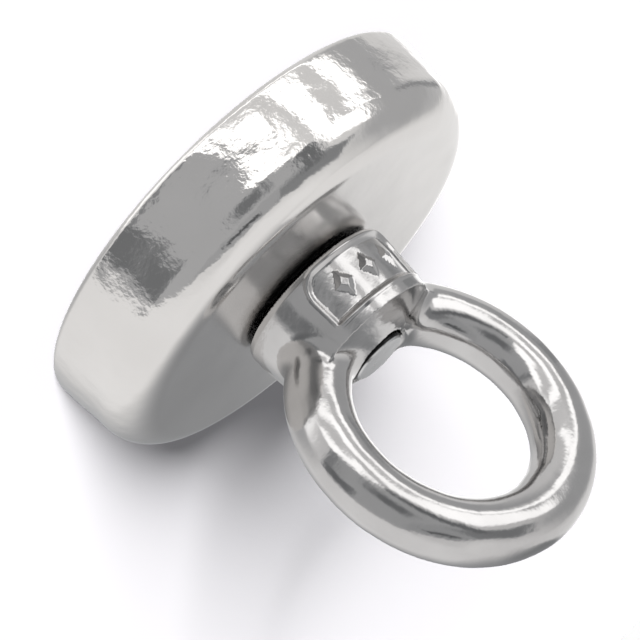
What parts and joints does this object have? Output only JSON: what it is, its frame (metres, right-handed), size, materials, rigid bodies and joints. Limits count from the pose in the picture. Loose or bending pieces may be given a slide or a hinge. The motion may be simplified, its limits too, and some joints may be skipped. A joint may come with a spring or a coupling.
{
  "type": "magnet fishing magnet",
  "caption": "Round pot magnet with a countersunk screw through its centre and a cast lifting eye nut on its back, used on a rope to pull steel out of water.",
  "frame": {"origin": "centre of the flat magnet face, which is also the bottom centre of the object's box", "axes": "+Z along the screw, from the magnet face towards the eye; the eye's ring lies in the XZ plane, so a rope passes through it along Y"},
  "size_m": [0.067, 0.067, 0.0632],
  "materials": {
    "nickel_plate": "mirror-bright nickel plate with a slight orange peel",
    "magnet_nickel": "satin nickel plate with fine wear from use",
    "potting_epoxy": "black cast resin, slightly uneven",
    "screw_steel": "bright zinc-plated steel",
    "washer_steel": "dark oiled steel, satin",
    "cast_stainless": "tumble-polished stainless casting"
  },
  "bodies": {
    "magnet_pot": {"steel_pot": "nickel_plate", "ring_magnet": "magnet_nickel", "potting_ring": "potting_epoxy", "countersunk_screw": "screw_steel"},
    "washer": {"flat_washer": "washer_steel"},
    "eye": {"eye_nut": "cast_stainless"}
  },
  "joints": [
    {"name": "thread_lift", "type": "slide", "parent": "magnet_pot", "child": "washer", "axis": [0, 0, 1], "range_m": [0, 0.01125]},
    {"name": "eye_turn", "type": "hinge", "parent": "washer", "child": "eye", "pos_m": [0, 0, 0.02], "axis": [0, 0, 1], "range_deg": [0, 2700]}
  ],
  "couplings": [
    {"joint": "thread_lift", "follows": "eye_turn", "m_per_rad": 0.00023873}
  ]
}
